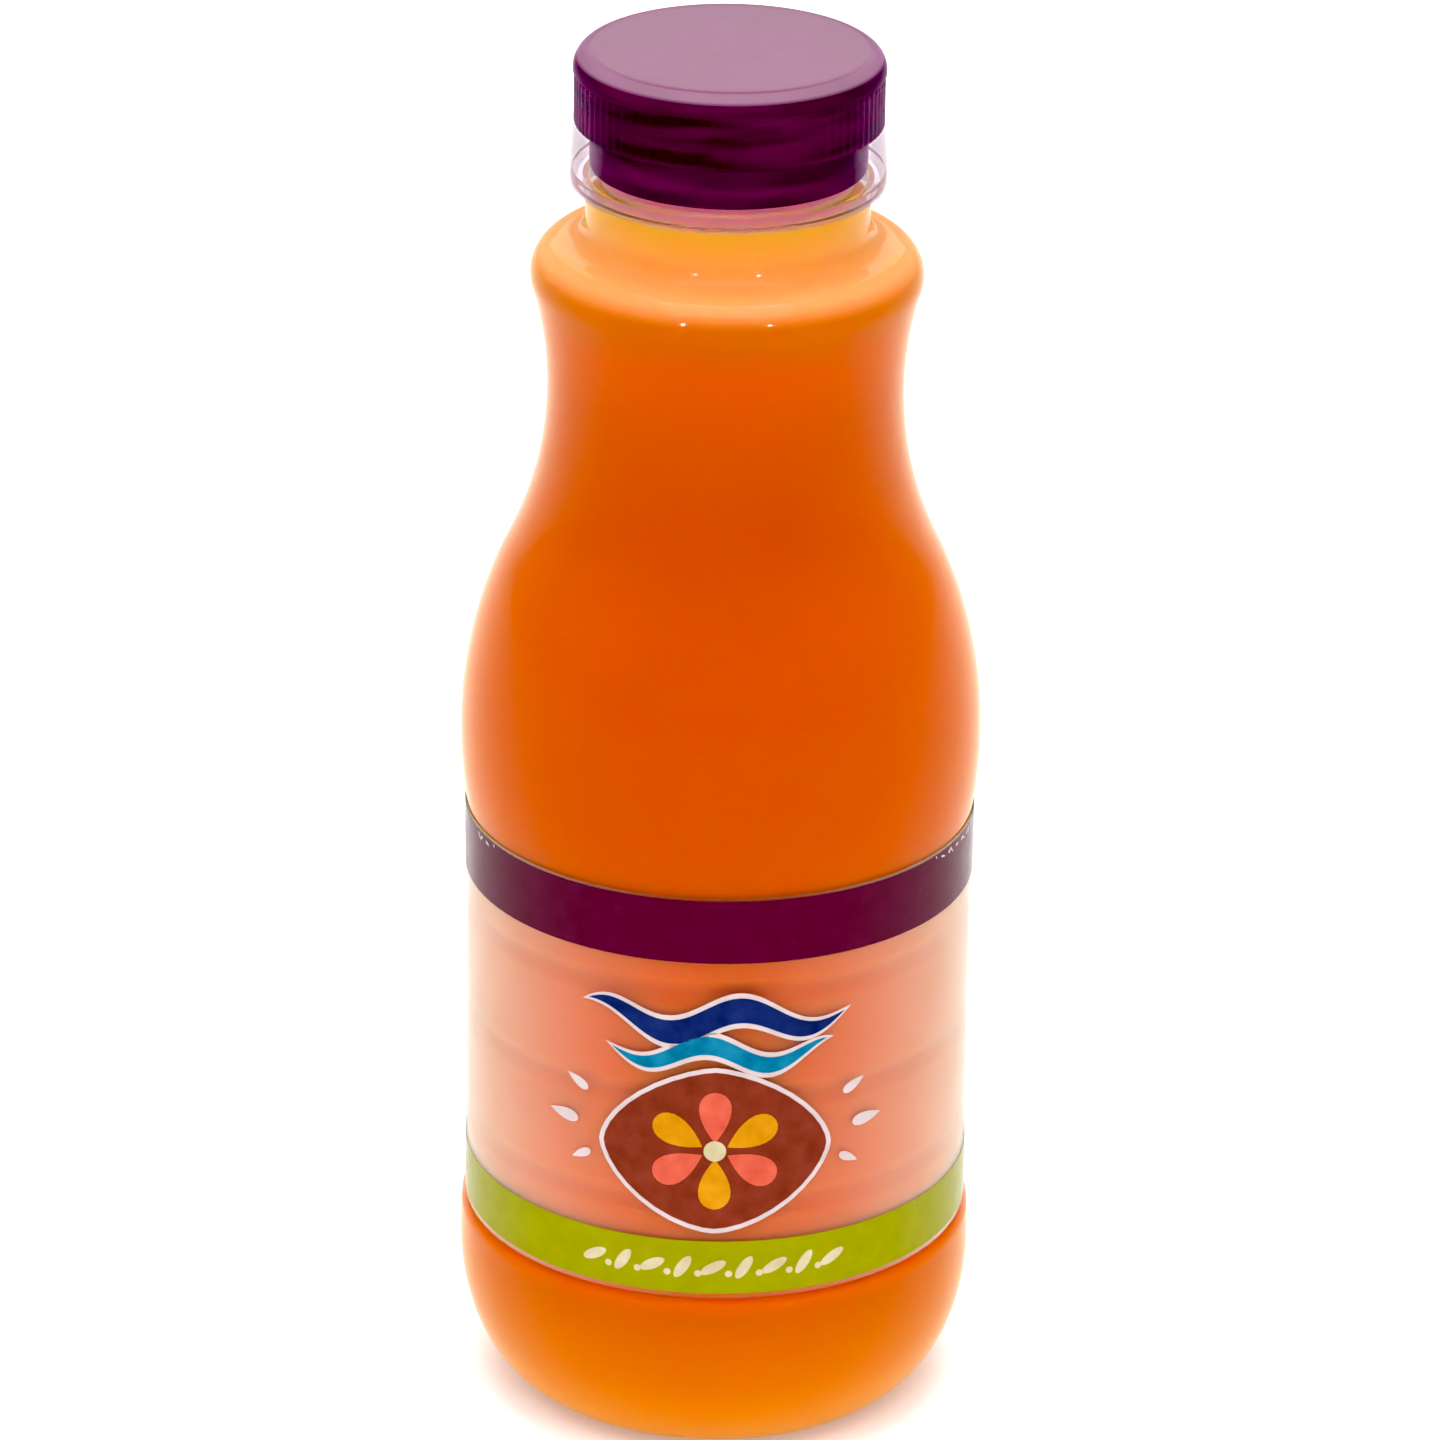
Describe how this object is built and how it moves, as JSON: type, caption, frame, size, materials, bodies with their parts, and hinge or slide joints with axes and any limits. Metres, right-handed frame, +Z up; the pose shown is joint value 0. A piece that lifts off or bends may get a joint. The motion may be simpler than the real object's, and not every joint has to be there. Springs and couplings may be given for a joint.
{
  "type": "flavoured milk bottle",
  "caption": "Clear waisted plastic bottle full of orange-coloured milk drink, with a purple ribbed screw cap, a clear shrink seal and a wrap-round label.",
  "frame": {"origin": "centre of the bottle's foot, on the surface that it stands on", "axes": "+Z up along the bottle's axis, -Y towards the front of the label"},
  "size_m": [0.0696, 0.0696, 0.1898],
  "materials": {
    "clear_plastic": "clear blown plastic, glossy, thin-walled",
    "drink": "opaque orange milk drink, smooth and slightly translucent",
    "cap_plastic": "moulded deep purple plastic, soft gloss",
    "seal_film": "clear glossy shrink film",
    "label_film": "milky translucent label film, glossy, printed with purple and green bands",
    "label_print": null
  },
  "bodies": {
    "root": {"bottle": "clear_plastic", "drink": "drink", "cap": "cap_plastic", "tear_band": "cap_plastic", "seal": "seal_film", "label": "label_film"}
  },
  "joints": []
}
